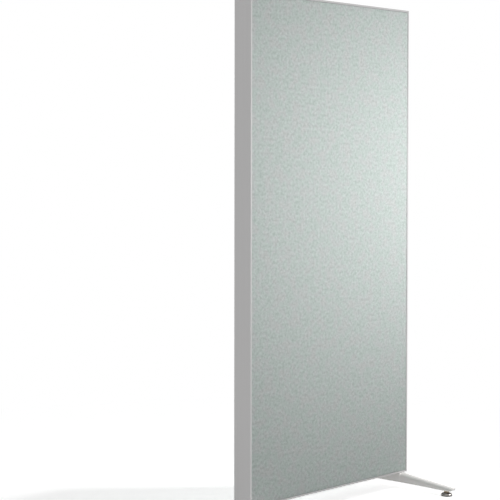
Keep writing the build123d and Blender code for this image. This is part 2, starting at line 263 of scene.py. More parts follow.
def wool_cloth(settings):
    """Wool melange, woven plain and fulled: soft, without gloss, with fibres of several
    shades that show as specks, gathered in patches, over a faint weave."""
    made, tree, shader = surface("Wool melange cloth", settings.mint, 0.95,
                                 {"Specular IOR Level": 0.15, "Sheen Weight": 0.12,
                                  "Sheen Roughness": 0.6})
    flat = (add(tree, "ShaderNodeUVMap", uv_map="Cloth"), "UV")
    # Spun fibres are 0.03 mm thick; what the eye sees are their tufts, drawn coarse to show
    tufts = add(tree, "ShaderNodeTexNoise", {"Vector": flat, "Scale": 1 / settings.tuft,
                                             "Detail": 2.0, "Roughness": 0.6})
    drift = add(tree, "ShaderNodeTexNoise", {"Vector": flat, "Scale": 1 / settings.drift,
                                             "Detail": 2.5, "Roughness": 0.62})
    tone = add(tree, "ShaderNodeValToRGB", {"Fac": (drift, "Fac")},
               stops=[(0.36, settings.rose), (0.47, settings.grey), (0.54, settings.mint),
                      (0.66, scaled(settings.mint, 0.96))])
    speck = add(tree, "ShaderNodeValToRGB", {"Fac": (tufts, "Fac")},
                stops=[(0.36, settings.fleck), (0.48, settings.grey), (0.53, settings.grey),
                       (0.64, settings.light)])
    mixed = add(tree, "ShaderNodeMix", {"Factor": settings.speck_share, "A": tone, "B": speck},
                data_type="RGBA")
    threads = []
    # At a scale of 1, a wave texture's waves are pi / 10 apart
    wave_scale = math.pi / 10 / settings.thread
    for direction in ("X", "Y"):
        wave = add(tree, "ShaderNodeTexWave",
                   {"Vector": flat, "Scale": wave_scale, "Distortion": 1.2, "Detail": 2.0,
                    "Detail Scale": 1.5}, bands_direction=direction)
        threads.append((wave, "Fac"))
    weave = add(tree, "ShaderNodeMath", (threads[0], threads[1]), operation="MULTIPLY")
    # Painted shade: the gaps between the threads, where both waves are low, are darkened towards
    # the colour of the darkest flecks
    gap_shade = [*scaled(settings.fleck, 0.97), 1.0]
    shaded = add(tree, "ShaderNodeMix", {"Factor": weave, "A": gap_shade, "B": mixed},
                 data_type="RGBA")
    blend = add(tree, "ShaderNodeMix", {"Factor": 1 - settings.weave_gap_shade, "A": shaded,
                                        "B": mixed}, data_type="RGBA")
    # Fibres lie along their thread, drawn 0.8 mm wide; warp and weft take turns on top
    strands = []
    for across, along in ((0.8, 6.0), (6.0, 0.8)):
        drawn = add(tree, "ShaderNodeMapping", {"Vector": flat,
                                                "Scale": (1 / across, 1 / along, 1)})
        strand = add(tree, "ShaderNodeTexNoise", {"Vector": drawn, "Scale": 1 / MM,
                                                  "Detail": 1.0})
        strands.append((strand, "Fac"))
    on_top = add(tree, "ShaderNodeTexChecker", {"Vector": flat, "Scale": 1 / settings.thread})
    fibres = add(tree, "ShaderNodeMix", {"Factor": (on_top, "Fac"), "A": strands[0],
                                         "B": strands[1]})
    # A fibre is up to a fifth or so paler or darker than the cloth
    paler = add(tree, "ShaderNodeMapRange", {"Value": fibres, "From Min": NOISE_LOW,
                                             "From Max": NOISE_HIGH, "To Min": 0.78,
                                             "To Max": 1.22})
    spun = add(tree, "ShaderNodeVectorMath", {0: blend, "Scale": (paler, "Result")},
               operation="SCALE")
    feed(tree, shader.inputs["Base Color"], spun)
    # The tufts stand out most, then the threads, then their fibres
    rise = add(tree, "ShaderNodeMath", (weave, 0.6, (tufts, "Fac")), operation="MULTIPLY_ADD")
    height = add(tree, "ShaderNodeMath", (fibres, 0.4, rise), operation="MULTIPLY_ADD")
    bump = add(tree, "ShaderNodeBump", {"Strength": 0.5, "Distance": 0.25 * MM,
                                        "Height": height})
    feed(tree, shader.inputs["Normal"], bump)
    return made


def vary(tree, shader, pattern, tones, gloss, strength, depth):
    """Let a pattern vary a surface: two tones, two roughnesses and a depth in metres."""
    tone = add(tree, "ShaderNodeValToRGB", {"Fac": (pattern, "Fac")},
               stops=[*zip((RAMP_LOW, RAMP_HIGH), tones)])
    feed(tree, shader.inputs["Base Color"], tone)
    rough = add(tree, "ShaderNodeMapRange", {"Value": (pattern, "Fac"), "To Min": gloss[0],
                                             "To Max": gloss[1]})
    feed(tree, shader.inputs["Roughness"], rough)
    bump = add(tree, "ShaderNodeBump", {"Strength": strength, "Distance": depth,
                                        "Height": (pattern, "Fac")})
    feed(tree, shader.inputs["Normal"], bump)


def drawn_aluminium(name, shade, along):
    """Anodised aluminium extrusion: satin, with faint lines along its length from the die."""
    made, tree, shader = surface(name, shade, 0.4, {"Metallic": 0.6})
    place = (add(tree, "ShaderNodeTexCoord"), "Object")
    # Die lines are 0.2 mm apart; drawn 1.2 mm apart and 400 mm long
    stretch = [1 / 400 if axis == along else 1 / 1.2 for axis in "XYZ"]
    stretched = add(tree, "ShaderNodeMapping", {"Vector": place, "Scale": stretch})
    lines = add(tree, "ShaderNodeTexNoise", {"Vector": stretched, "Scale": 1 / MM,
                                             "Detail": 2.0})
    vary(tree, shader, lines, (scaled(shade, 0.975), scaled(shade, 1.02)), (0.36, 0.46), 0.15,
         0.02 * MM)
    return made


def grained(name, shade, grain, roughness, spread, depth, contrast, more={}):
    """A surface with a fine even grain: the grain's width, the roughness and how far it
    spreads, the grain's depth and how far its tone varies."""
    made, tree, shader = surface(name, shade, roughness, more)
    place = (add(tree, "ShaderNodeTexCoord"), "Object")
    grains = add(tree, "ShaderNodeTexNoise", {"Vector": place, "Scale": 1 / grain,
                                              "Detail": 4.0, "Roughness": 0.6})
    vary(tree, shader, grains, (scaled(shade, 1 - contrast), scaled(shade, 1 + contrast)),
         (roughness - spread, roughness + spread), 0.4, depth)
    return made


def finish(node, made):
    """Give a CAD node its material."""
    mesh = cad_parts[node].data
    mesh.materials.clear()
    mesh.materials.append(made)


# Geometry Nodes


def new_tree(name, inputs):
    """A geometry tree with places, named sizes and a material; returns it and its input
    node."""
    tree = bpy.data.node_groups.new(name, "GeometryNodeTree")
    tree.interface.new_socket("Places", in_out="INPUT", socket_type="NodeSocketGeometry")
    for key, value in inputs.items():
        kind = "NodeSocketInt" if isinstance(value, int) else "NodeSocketFloat"
        tree.interface.new_socket(key, in_out="INPUT", socket_type=kind).default_value = value
    tree.interface.new_socket("Material", in_out="INPUT", socket_type="NodeSocketMaterial")
    tree.interface.new_socket("Piece", in_out="OUTPUT", socket_type="NodeSocketGeometry")
    return tree, add(tree, "NodeGroupInput")


def close_tree(tree, given, geometry):
    """End a tree: real geometry with the given material."""
    real = add(tree, "GeometryNodeRealizeInstances", {"Geometry": geometry})
    painted = add(tree, "GeometryNodeSetMaterial", {"Geometry": real,
                                                    "Material": (given, "Material")})
    add(tree, "NodeGroupOutput", {"Piece": painted})


def put_on_places(tree, given, geometry):
    """Put a copy of a piece on each vertex, its Z along the vertex's axis, and end the tree."""
    points = add(tree, "GeometryNodeMeshToPoints", {"Mesh": (given, "Places")})
    axis = add(tree, "GeometryNodeInputNamedAttribute", {"Name": "axis"}, data_type="FLOAT_VECTOR")
    turn = add(tree, "FunctionNodeAlignRotationToVector", {"Vector": (axis, "Attribute")}, axis="Z")
    copies = add(tree, "GeometryNodeInstanceOnPoints", {"Points": points, "Instance": geometry,
                                                        "Rotation": turn})
    close_tree(tree, given, copies)


def turned(tree, rows, sides, thread=None, crown=()):
    """A closed turned body, from the bottom up. A row is a radius, a height and, on a
    hexagon, half its width. A thread follows the rows, and the rows of the crown follow
    the thread."""
    table = [*rows, *crown]
    steps = thread["turns"] * THREAD_ROWS if thread else 0
    last = len(table) + steps - 1
    blank = add(tree, "GeometryNodeMeshCylinder",
                {"Vertices": sides, "Side Segments": last, "Radius": 1.0, "Depth": float(last)},
                fill_type="TRIANGLE_FAN")
    place = add(tree, "ShaderNodeSeparateXYZ", {0: add(tree, "GeometryNodeInputPosition")})
    row = add(tree, "ShaderNodeMath", ((place, "Z"), last / 2), operation="ADD")
    past = add(tree, "ShaderNodeMath", (row, len(rows) + steps / 2), operation="GREATER_THAN")
    fixed = add(tree, "ShaderNodeMath", (past, -float(steps), row), operation="MULTIPLY_ADD")
    whole = add(tree, "ShaderNodeMath", (fixed, 0.5), operation="ADD")
    # Each row's values, chosen by its number; a row with no flats has them past any radius
    columns = zip(*[(*r, 1.0)[:3] for r in table])
    radius, height, flat = [
        add(tree, "GeometryNodeIndexSwitch",
            {"Index": whole, **{i + 1: value for i, value in enumerate(column)}},
            rows=len(table), data_type="FLOAT") for column in columns]
    angle = add(tree, "ShaderNodeMath", ((place, "Y"), (place, "X")), operation="ARCTAN2")
    sixth = add(tree, "ShaderNodeMath", (angle, math.pi / 6, -math.pi / 6), operation="WRAP")
    cosine = add(tree, "ShaderNodeMath", {0: sixth}, operation="COSINE")
    limit = add(tree, "ShaderNodeMath", (flat, cosine), operation="DIVIDE")
    reach = add(tree, "ShaderNodeMath", (radius, limit), operation="MINIMUM")
    if thread:
        outside, pitch, low, high = [thread[key] for key in ("radius", "pitch", "low", "high")]
        middle = add(tree, "ShaderNodeMath", (row, len(rows) + (steps - 1) / 2),
                     operation="SUBTRACT")
        off = add(tree, "ShaderNodeMath", {0: middle}, operation="ABSOLUTE")
        is_thread = add(tree, "ShaderNodeMath", (off, steps / 2), operation="LESS_THAN")
        way = add(tree, "ShaderNodeMapRange",
                  {"Value": middle, "From Min": -(steps - 1) / 2, "From Max": (steps - 1) / 2,
                   "To Min": low, "To Max": high})
        climb = add(tree, "ShaderNodeMath", (way, pitch), operation="DIVIDE")
        round_share = add(tree, "ShaderNodeMath", (angle, math.tau), operation="DIVIDE")
        phase = add(tree, "ShaderNodeMath", (climb, round_share), operation="SUBTRACT")
        twice = add(tree, "ShaderNodeMath", (phase, 2.0), operation="MULTIPLY")
        wave = add(tree, "ShaderNodeMath", (twice, 1.0), operation="PINGPONG")
        flank = add(tree, "ShaderNodeMapRange", {"Value": wave, "From Min": CREST_END,
                                                 "From Max": ROOT_START})
        depth = add(tree, "ShaderNodeMath", (pitch, -THREAD_DEPTH), operation="MULTIPLY")
        cut = add(tree, "ShaderNodeMath", (flank, depth, outside), operation="MULTIPLY_ADD")
        above = add(tree, "ShaderNodeMath", (high, way), operation="SUBTRACT")
        below = add(tree, "ShaderNodeMath", (way, low), operation="SUBTRACT")
        nearest = add(tree, "ShaderNodeMath", (above, below), operation="MINIMUM")
        core = add(tree, "ShaderNodeMath", (outside, depth), operation="ADD")
        bevel = add(tree, "ShaderNodeMath", (core, nearest), operation="ADD")
        ridge = add(tree, "ShaderNodeMath", (cut, bevel), operation="MINIMUM")
        height = add(tree, "ShaderNodeMix", {"Factor": is_thread, "A": height, "B": way})
        reach = add(tree, "ShaderNodeMix", {"Factor": is_thread, "A": reach, "B": ridge})
    x = add(tree, "ShaderNodeMath", ((place, "X"), reach), operation="MULTIPLY")
    y = add(tree, "ShaderNodeMath", ((place, "Y"), reach), operation="MULTIPLY")
    moved = add(tree, "ShaderNodeCombineXYZ", {"X": x, "Y": y, "Z": height})
    return add(tree, "GeometryNodeSetPosition", {"Geometry": (blank, "Mesh"), "Position": moved})


def grow(name, tree, places, made, **inputs):
    """Run a tree on places, each a point and an axis, and keep the result as a plain mesh."""
    mesh = bpy.data.meshes.new(name)
    mesh.from_pydata([tuple(p) for p, _ in places], [], [])
    axes = mesh.attributes.new("axis", "FLOAT_VECTOR", "POINT")
    axes.data.foreach_set("vector", [v for _, a in places for v in a])
    piece = bpy.data.objects.new(name, mesh)
    bpy.context.scene.collection.objects.link(piece)
    modifier = piece.modifiers.new("Piece", "NODES")
    modifier.node_group = tree
    inputs = {key.replace("_", " ").title(): value for key, value in inputs.items()}
    inputs["Material"] = made
    for item in tree.interface.items_tree:
        if item.item_type == "SOCKET" and item.in_out == "INPUT" and item.name in inputs:
            modifier[item.identifier] = inputs[item.name]
    graph = bpy.context.evaluated_depsgraph_get()
    plain = bpy.data.meshes.new_from_object(piece.evaluated_get(graph), depsgraph=graph)
    piece.modifiers.clear()
    piece.data = plain
    plain.name = name
    bpy.data.meshes.remove(mesh)
    for kept in [a.name for a in plain.attributes if a.name == "axis"]:
        plain.attributes.remove(plain.attributes[kept])
    if not plain.polygons:
        raise RuntimeError(f"{name} came out empty")
    plain.shade_smooth()
    plain.set_sharp_from_angle(angle=SHARP_METAL)
    return piece


def solid_boxes(node):
    """The lowest and highest corners of each separate solid of a CAD node."""
    copy = bmesh.new()
    copy.from_mesh(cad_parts[node].data)
    bmesh.ops.remove_doubles(copy, verts=copy.verts, dist=0.001 * MM)
    left, boxes = set(copy.verts), []
    while left:
        group, front = [], [left.pop()]
        while front:
            vertex = front.pop()
            group.append(vertex.co.copy())
            near = {edge.other_vert(vertex) for edge in vertex.link_edges} & left
            left -= near
            front += near
        boxes.append((Vector(map(min, zip(*group))), Vector(map(max, zip(*group)))))
    copy.free()
    return sorted(boxes, key=lambda box: [round(v, 5) for v in box[0]])


def cover_tree(settings):
    """Cloth drawn over a board: a flat grid whose outer columns and rows follow a section
    that folds over the edge, runs along it and turns in behind."""
    tree, given = new_tree("Drawn cover", {"Width": 786 * MM, "Height": 1586 * MM,
                                           "Depth": 10.4 * MM, "Fold": settings.fold,
                                           "Turn In": settings.turn_in, "Across": 50,
                                           "Along": 100, "Front": 34.5 * MM,
                                           "Middle": 850 * MM, "Facing": -1.0,
                                           "Relief": settings.relief, "Seed": settings.seed})
    # Rounded steps of each fold, the rings of cells that the two folds, the side and the flap
    # take, and how far before the fold the section starts
    steps = 4
    rings = 2 * steps + 2
    lead = MM
    # Behind, the straight part of a flap ends this much further in than its mitre, which
    # leaves room for the corner's own cells
    draw_in = 1.35
    # The section, in the distance outwards from where the fold starts and the distance back
    back = add(tree, "ShaderNodeMath", ((given, "Fold"), (given, "Turn In")),
               operation="SUBTRACT")
    corners = [add(tree, "ShaderNodeCombineXYZ", {"X": -lead}),
               add(tree, "ShaderNodeCombineXYZ", {"X": (given, "Fold")}),
               add(tree, "ShaderNodeCombineXYZ", {"X": (given, "Fold"), "Y": (given, "Depth")}),
               add(tree, "ShaderNodeCombineXYZ", {"X": back, "Y": (given, "Depth")})]
    corner = add(tree, "GeometryNodeIndexSwitch",
                 {"Index": add(tree, "GeometryNodeInputIndex"),
                  **{i + 1: at for i, at in enumerate(corners)}}, rows=len(corners),
                 data_type="VECTOR")
    points = add(tree, "GeometryNodePoints", {"Count": len(corners), "Position": corner})
    line = add(tree, "GeometryNodePointsToCurves", {"Points": points})
    section = add(tree, "GeometryNodeFilletCurve", {"Curve": line, "Count": steps,
                                                    "Radius": (given, "Fold")}, mode="POLY")
    # The grid, one unit to a cell; beyond the flat part each unit is a step of the section
    middle = add(tree, "ShaderNodeCombineXYZ", {"X": (given, "Across"), "Y": (given, "Along"),
                                                "Z": 2.0})
    flat_half = add(tree, "ShaderNodeVectorMath", {0: middle, "Scale": 0.5}, operation="SCALE")
    size = add(tree, "ShaderNodeVectorMath", (middle, (2 * rings, 2 * rings, 0)),
               operation="ADD")
    count = add(tree, "ShaderNodeVectorMath", (size, (1, 1, 0)), operation="ADD")
    size_parts = add(tree, "ShaderNodeSeparateXYZ", {0: size})
    count_parts = add(tree, "ShaderNodeSeparateXYZ", {0: count})
    grid = add(tree, "GeometryNodeMeshGrid",
               {"Size X": (size_parts, "X"), "Size Y": (size_parts, "Y"),
                "Vertices X": (count_parts, "X"), "Vertices Y": (count_parts, "Y")})
    cell = add(tree, "GeometryNodeInputPosition")
    # Share of the flat part, and of the folded part, in each direction
    share = add(tree, "ShaderNodeVectorMath", (cell, flat_half), operation="DIVIDE")
    share_top = add(tree, "ShaderNodeVectorMath", (share, (1, 1, 1)), operation="MINIMUM")
    inner = add(tree, "ShaderNodeVectorMath", (share_top, (-1, -1, -1)), operation="MAXIMUM")
    sign = add(tree, "ShaderNodeVectorMath", {0: cell}, operation="SIGN")
    absolute = add(tree, "ShaderNodeVectorMath", {0: cell}, operation="ABSOLUTE")
    past = add(tree, "ShaderNodeVectorMath", (absolute, flat_half), operation="SUBTRACT")
    over = add(tree, "ShaderNodeVectorMath", (past, (0, 0, 0)), operation="MAXIMUM")
    over_parts = add(tree, "ShaderNodeSeparateXYZ", {0: over})
    ring = add(tree, "ShaderNodeMath", ((over_parts, "X"), (over_parts, "Y")),
               operation="MAXIMUM")
    ring_or_one = add(tree, "ShaderNodeMath", (ring, 1.0), operation="MAXIMUM")
    one_share = add(tree, "ShaderNodeMath", (1.0, ring_or_one), operation="DIVIDE")
    outer = add(tree, "ShaderNodeVectorMath", {0: over, "Scale": one_share}, operation="SCALE")
    step = add(tree, "ShaderNodeMath", (ring, 1.5), operation="ADD")
    at = add(tree, "GeometryNodeSampleIndex", {"Geometry": section, "Index": step,
                                               "Value": add(tree, "GeometryNodeInputPosition")},
             data_type="FLOAT_VECTOR")
    run = add(tree, "GeometryNodeSampleIndex",
              {"Geometry": section, "Index": step,
               "Value": (add(tree, "GeometryNodeSplineParameter"), "Length")}, data_type="FLOAT")
    at_parts = add(tree, "ShaderNodeSeparateXYZ", {0: at})
    out = (at_parts, "X")
    # Outside the fold's start the corner is round; behind, the flaps meet in a mitre
    spread = add(tree, "ShaderNodeVectorMath", {0: outer}, operation="LENGTH")
    spread_or_one = add(tree, "ShaderNodeMath", ((spread, "Value"), 1.0), operation="MAXIMUM")
    is_out = add(tree, "ShaderNodeMath", (out, 0.0), operation="GREATER_THAN")
    divisor = add(tree, "ShaderNodeMix", {"Factor": is_out, "A": 1.0, "B": spread_or_one})
    round_share = add(tree, "ShaderNodeMath", (1.0, divisor), operation="DIVIDE")
    corner_share = add(tree, "ShaderNodeVectorMath", {0: outer, "Scale": round_share},
                       operation="SCALE")
    # Half the flat part, and how far it draws in under the turned-in flaps
    board = add(tree, "ShaderNodeCombineXYZ", {"X": (given, "Width"), "Y": (given, "Height")})
    board_half = add(tree, "ShaderNodeVectorMath", {0: board, "Scale": 0.5}, operation="SCALE")
    fold = add(tree, "ShaderNodeCombineXYZ", {"X": (given, "Fold"), "Y": (given, "Fold")})
    start = add(tree, "ShaderNodeVectorMath", (board_half, fold), operation="SUBTRACT")
    inwards = add(tree, "ShaderNodeMath", (out, 0.0), operation="MINIMUM")
    drawn_in = add(tree, "ShaderNodeMath", (inwards, draw_in), operation="MULTIPLY")
    near = add(tree, "ShaderNodeVectorMath", (start, drawn_in), operation="ADD")
    far = add(tree, "ShaderNodeVectorMath", (start, out), operation="ADD")
    width = add(tree, "ShaderNodeVectorMath", (far, near), operation="SUBTRACT")
    signed = add(tree, "ShaderNodeVectorMath", (corner_share, sign), operation="MULTIPLY")
    edge_part = add(tree, "ShaderNodeVectorMath", (signed, width), operation="MULTIPLY")
    placed = add(tree, "ShaderNodeVectorMath", (inner, near, edge_part),
                 operation="MULTIPLY_ADD")
    placed_parts = add(tree, "ShaderNodeSeparateXYZ", {0: placed})
    # The same point on the cloth as it was cut
    cut = add(tree, "ShaderNodeMath", (run, lead), operation="SUBTRACT")
    outer_signed = add(tree, "ShaderNodeVectorMath", (outer, sign), operation="MULTIPLY")
    cut_part = add(tree, "ShaderNodeVectorMath", {0: outer_signed, "Scale": cut}, operation="SCALE")
    on_cloth = add(tree, "ShaderNodeVectorMath", (inner, start, cut_part),
                   operation="MULTIPLY_ADD")
    # Relief on the flat part only, in swells 160 mm wide
    swells = add(tree, "ShaderNodeTexNoise", {"Vector": on_cloth, "W": (given, "Seed"),
                                              "Scale": 1 / (160 * MM), "Detail": 1.5},
                 noise_dimensions="4D")
    height = add(tree, "ShaderNodeMapRange", {"Value": (swells, "Fac"), "From Min": NOISE_LOW,
                                              "From Max": NOISE_HIGH, "To Min": 0.0,
                                              "To Max": (given, "Relief")})
    is_flat = add(tree, "ShaderNodeMath", (ring, 0.5), operation="LESS_THAN")
    dip = add(tree, "ShaderNodeMath", ((height, "Result"), is_flat, (at_parts, "Y")),
              operation="MULTIPLY_ADD")
    depth = add(tree, "ShaderNodeMath", ((given, "Front"), dip), operation="SUBTRACT")
    y = add(tree, "ShaderNodeMath", (depth, (given, "Facing")), operation="MULTIPLY")
    z = add(tree, "ShaderNodeMath", ((placed_parts, "Y"), (given, "Middle")), operation="ADD")
    moved = add(tree, "ShaderNodeCombineXYZ", {"X": (placed_parts, "X"), "Y": y, "Z": z})
    mapped = add(tree, "GeometryNodeStoreNamedAttribute",
                 {"Geometry": (grid, "Mesh"), "Name": "Cloth", "Value": on_cloth},
                 data_type="FLOAT2", domain="CORNER")
    cloth = add(tree, "GeometryNodeSetPosition", {"Geometry": mapped, "Position": moved})
    close_tree(tree, given, cloth)
    return tree


def screw_tree():
    """A socket set screw along Z with its tip at the place."""
    tree, given = new_tree("Set screw", {"Radius": 2.95 * MM, "Length": 16 * MM, "Pitch": MM,
                                         "Socket": 1.5 * MM, "Socket Depth": 3.5 * MM})
    wide, top, flat = (given, "Radius"), (given, "Length"), (given, "Socket")
    neck = add(tree, "ShaderNodeMath", (wide, (given, "Pitch")), operation="SUBTRACT")
    floor = add(tree, "ShaderNodeMath", (top, (given, "Socket Depth")), operation="SUBTRACT")
    thread = dict(radius=wide, pitch=(given, "Pitch"), low=0.0, high=top, turns=16)
    body = turned(tree, [(neck, 0.0)], 18, thread, [(wide, top, flat), (wide, floor, flat)])
    put_on_places(tree, given, body)
    return tree


def bolt_tree():
    """A socket head bolt along Z with the underside of its head at the place."""
    tree, given = new_tree("Socket head bolt", {"Head Radius": 6.5 * MM, "Head Height": 8 * MM,
                                                "Radius": 3.95 * MM, "Length": 40 * MM,
                                                "Pitch": 1.25 * MM, "Socket": 3 * MM,
                                                "Socket Depth": 4 * MM, "Bevel": 0.7 * MM})
    low = add(tree, "ShaderNodeMath", (0.0, (given, "Head Height")), operation="SUBTRACT")
    floor = add(tree, "ShaderNodeMath", (low, (given, "Socket Depth")), operation="ADD")
    edge = add(tree, "ShaderNodeMath", (low, (given, "Bevel")), operation="ADD")
    wide, shank, flat = (given, "Head Radius"), (given, "Radius"), (given, "Socket")
    rim = add(tree, "ShaderNodeMath", (wide, (given, "Bevel")), operation="SUBTRACT")
    rows = [(wide, floor, flat), (wide, low, flat), (rim, low), (wide, edge), (wide, 0.0),
            (shank, 0.0)]
    thread = dict(radius=shank, pitch=(given, "Pitch"), low=0.0, high=(given, "Length"),
                  turns=32)
    body = turned(tree, rows, 24, thread)
    put_on_places(tree, given, body)
    return tree


def washer_tree():
    """A split spring washer on its place, across Z."""
    tree, given = new_tree("Spring washer", {"Inside": 4.3 * MM, "Outside": 6.9 * MM,
                                             "Thickness": 1.9 * MM, "Gap": math.radians(9)})
    inside, outside = (given, "Inside"), (given, "Outside")
    ends = add(tree, "ShaderNodeMath", (inside, outside), operation="ADD")
    mean = add(tree, "ShaderNodeMath", (ends, 0.5), operation="MULTIPLY")
    width = add(tree, "ShaderNodeMath", (outside, inside), operation="SUBTRACT")
    sweep = add(tree, "ShaderNodeMath", (math.tau, (given, "Gap")), operation="SUBTRACT")
    arc = add(tree, "GeometryNodeCurveArc", {"Resolution": 49, "Radius": mean,
                                             "Sweep Angle": sweep})
    section = add(tree, "GeometryNodeCurvePrimitiveQuadrilateral",
                  {"Width": width, "Height": (given, "Thickness")})
    ring = add(tree, "GeometryNodeCurveToMesh", {"Curve": arc, "Profile Curve": section,
                                                 "Fill Caps": True})
    lift = add(tree, "ShaderNodeMath", ((given, "Thickness"), 0.5), operation="MULTIPLY")
    up = add(tree, "ShaderNodeCombineXYZ", {"Z": lift})
    raised = add(tree, "GeometryNodeTransform", {"Geometry": ring, "Translation": up})
    put_on_places(tree, given, raised)
    return tree


def clip_tree():
    """A push-in clip along Z, from its barbed head inside the frame to its ribbed spigot in
    the board. Its stud is split, so that the barbs can give."""
    tree, given = new_tree("Push-in clip", {"Head Low": 11.8 * MM, "Neck Low": 15.2 * MM,
                                            "Base Low": 22.3 * MM, "Base Top": 24.1 * MM,
                                            "Spigot Top": 30.1 * MM, "Barb Radius": 4.2 * MM,
                                            "Stud Radius": 3.4 * MM, "Base Radius": 5.4 * MM,
                                            "Spigot Radius": 2.4 * MM, "Rib Depth": 0.35 * MM,
                                            "Slot": 1.1 * MM})
    head_low, neck_low = (given, "Head Low"), (given, "Neck Low")
    base_low, base_top = (given, "Base Low"), (given, "Base Top")
    barb, stud, base = [(given, f"{part} Radius") for part in ("Barb", "Stud", "Base")]
    rib, spigot, top = (given, "Rib Depth"), (given, "Spigot Radius"), (given, "Spigot Top")
    # The nose is narrower than the stud, and the barbs are widest most of the way up the head
    nose_share, barb_share = 0.75, 0.8
    # The middle of the slot, as a share of the stud, and its length across, past the stud
    slot_middle, slot_across = 0.4, 12 * MM
    core = add(tree, "ShaderNodeMath", (spigot, rib), operation="SUBTRACT")
    tip = add(tree, "ShaderNodeMath", (core, rib), operation="SUBTRACT")
    nose = add(tree, "ShaderNodeMath", (stud, nose_share), operation="MULTIPLY")
    rim = add(tree, "ShaderNodeMath", (base, rib), operation="SUBTRACT")
    rim_low = add(tree, "ShaderNodeMath", (base_low, rib), operation="ADD")
    head = add(tree, "ShaderNodeMath", (neck_low, head_low), operation="SUBTRACT")
    widest = add(tree, "ShaderNodeMath", (head, barb_share, head_low), operation="MULTIPLY_ADD")
    rows = [(nose, head_low), (barb, widest), (barb, neck_low), (stud, neck_low),
            (stud, base_low), (rim, base_low), (base, rim_low), (base, base_top),
            (core, base_top)]
    for share in (0.25, 0.5, 0.75):
        height = add(tree, "ShaderNodeMix", {"Factor": share, "A": base_top, "B": top})
        rows += [(spigot, height), (core, height)]
    rows += [(core, top), (tip, top)]
    body = turned(tree, rows, 32)
    # The slot runs from below the head to the base, across the whole stud
    span = add(tree, "ShaderNodeMath", (base_low, head_low), operation="SUBTRACT")
    size = add(tree, "ShaderNodeCombineXYZ", {"X": (given, "Slot"), "Y": slot_across,
                                              "Z": span})
    centre = add(tree, "ShaderNodeMath", (span, slot_middle, head_low),
                 operation="MULTIPLY_ADD")
    block = add(tree, "GeometryNodeMeshCube", {"Size": size})
    at = add(tree, "ShaderNodeCombineXYZ", {"Z": centre})
    cutter = add(tree, "GeometryNodeTransform", {"Geometry": (block, "Mesh"),
                                                 "Translation": at})
    split = add(tree, "GeometryNodeMeshBoolean", {"Mesh 1": body, "Mesh 2": cutter},
                operation="DIFFERENCE", solver="EXACT")
    put_on_places(tree, given, split)
    return tree


def stem_tree():
    """A glide's stem along Z with its lowest point at the place: rivet head, spigot, hexagon,
    thread."""
    tree, given = new_tree("Glide stem", {"Rivet Radius": 5.6 * MM, "Rivet Head": 1.4 * MM,
                                          "Spigot Radius": 3.95 * MM, "Spigot": 1.8 * MM,
                                          "Hexagon": 8.5 * MM, "Hexagon Height": 5 * MM,
                                          "Bevel": 0.8 * MM, "Radius": 4.95 * MM,
                                          "Pitch": 1.5 * MM, "Length": 20.8 * MM})
    flat, rivet, bevel = (given, "Hexagon"), (given, "Rivet Head"), (given, "Bevel")
    rivet_radius, spigot = (given, "Rivet Radius"), (given, "Spigot Radius")
    # A rivet head narrows to this share of its radius below this share of its height
    rim_share, crown_share = 0.86, 0.45
    low = add(tree, "ShaderNodeMath", (rivet, (given, "Spigot")), operation="ADD")
    top = add(tree, "ShaderNodeMath", (low, (given, "Hexagon Height")), operation="ADD")
    corner = add(tree, "ShaderNodeMath", (bevel, 2.0, flat), operation="MULTIPLY_ADD")
    rim = add(tree, "ShaderNodeMath", (rivet_radius, rim_share), operation="MULTIPLY")
    crown = add(tree, "ShaderNodeMath", (rivet, crown_share), operation="MULTIPLY")
    rows = [(rim, 0.0), (rivet_radius, crown), (rivet_radius, rivet), (spigot, rivet),
            (spigot, low)]
    # The bevel of the hexagon in four steps, at its foot and then at its top
    steps = (0.0, 0.25, 0.5, 1.0)
    for shares, end, way in ((steps, low, 1), (steps[::-1], top, -1)):
        for share in shares:
            radius = add(tree, "ShaderNodeMix", {"Factor": share, "A": flat, "B": corner})
            height = add(tree, "ShaderNodeMath", (bevel, way * share, end),
                         operation="MULTIPLY_ADD")
            rows.append((radius, height, flat))
    thread = dict(radius=(given, "Radius"), pitch=(given, "Pitch"), low=top,
                  high=(given, "Length"), turns=8)
    put_on_places(tree, given, turned(tree, rows, 72, thread))
    return tree


def drawn_cover(name, node, facing, tree, made, settings):
    """One face board's cloth, as a sheet with its own thickness."""
    low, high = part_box(node)
    sizes = dict(width=high.x - low.x, height=high.z - low.z, depth=high.y - low.y,
                 front=max(abs(low.y), abs(high.y)), middle=(low.z + high.z) / 2,
                 facing=float(facing), fold=settings.fold, turn_in=settings.turn_in,
                 across=round((high.x - low.x) / settings.cell),
                 along=round((high.z - low.z) / settings.cell),
                 relief=settings.relief, seed=settings.seed + facing)
    piece = grow(name, tree, [(Vector((0, 0, 0)), UP)], made, **sizes)
    centre = Vector((0, facing * sizes["front"], sizes["middle"]))
    middle = min(piece.data.polygons, key=lambda p: (p.center - centre).length)
    if middle.normal.y * facing < 0:
        piece.data.flip_normals()
    wall = piece.modifiers.new("Cloth thickness", "SOLIDIFY")
    wall.thickness = settings.thickness
    wall.offset = -1
    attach(piece, "screen")
    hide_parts(node)
    return piece


